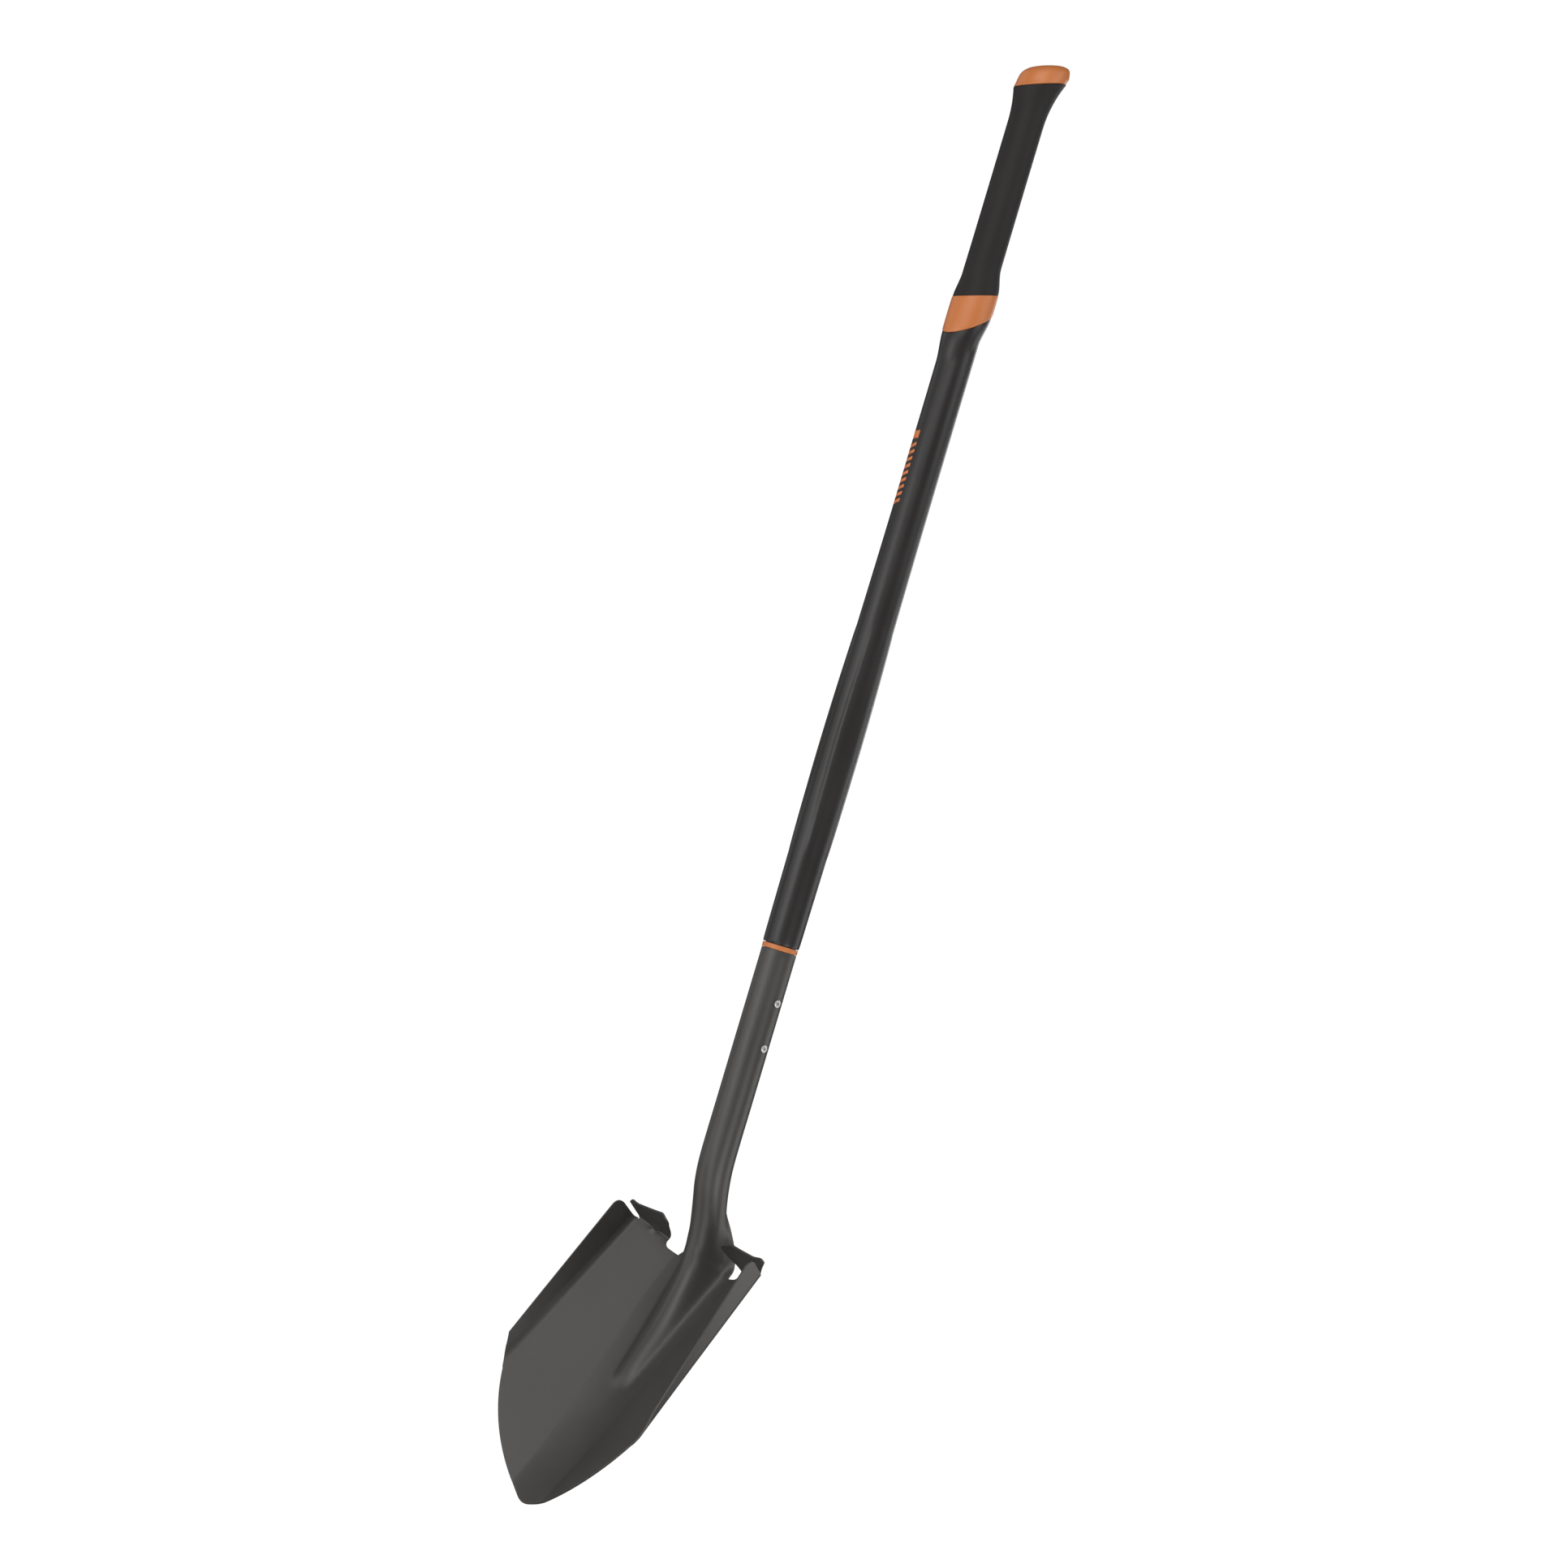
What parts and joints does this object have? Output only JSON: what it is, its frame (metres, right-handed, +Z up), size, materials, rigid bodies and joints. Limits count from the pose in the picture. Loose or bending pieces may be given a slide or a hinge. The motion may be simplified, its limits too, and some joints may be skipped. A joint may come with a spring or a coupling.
{
  "type": "long-handled digging shovel",
  "caption": "Long-handled pointed digging shovel with folded blade walls, folded foot treads, riveted socket and a padded grip with a slanted end cap.",
  "frame": {"origin": "on the shaft's axis in the middle of the grip, where a hand holds the shovel up", "axes": "+Z up along the shaft, -Y to the hollow front side of the blade, +X to the shovel's right seen from the front"},
  "size_m": [0.2104, 0.1578, 1.4531],
  "materials": {
    "powder_coat": "satin powder coat",
    "jacket_black": "satin moulded jacket",
    "grip_black": "matt soft grip",
    "orange": "satin moulded",
    "fibreglass": "pultruded tube, bare",
    "rivet_grey": "plain",
    "stem_grey": "plain, broken off"
  },
  "bodies": {
    "root": {"blade": "powder_coat", "core_tube": "fibreglass", "socket_ring": "orange", "shaft_sleeve": "jacket_black", "hand_stop_band": "orange", "grip_sleeve": "grip_black", "pommel_cap": "orange", "rivet_upper_right": "rivet_grey", "rivet_lower_right": "rivet_grey", "rivet_upper_left": "rivet_grey", "rivet_lower_left": "rivet_grey", "mandrel_upper_right": "stem_grey", "mandrel_lower_right": "stem_grey", "mandrel_upper_left": "stem_grey", "mandrel_lower_left": "stem_grey"}
  },
  "joints": []
}
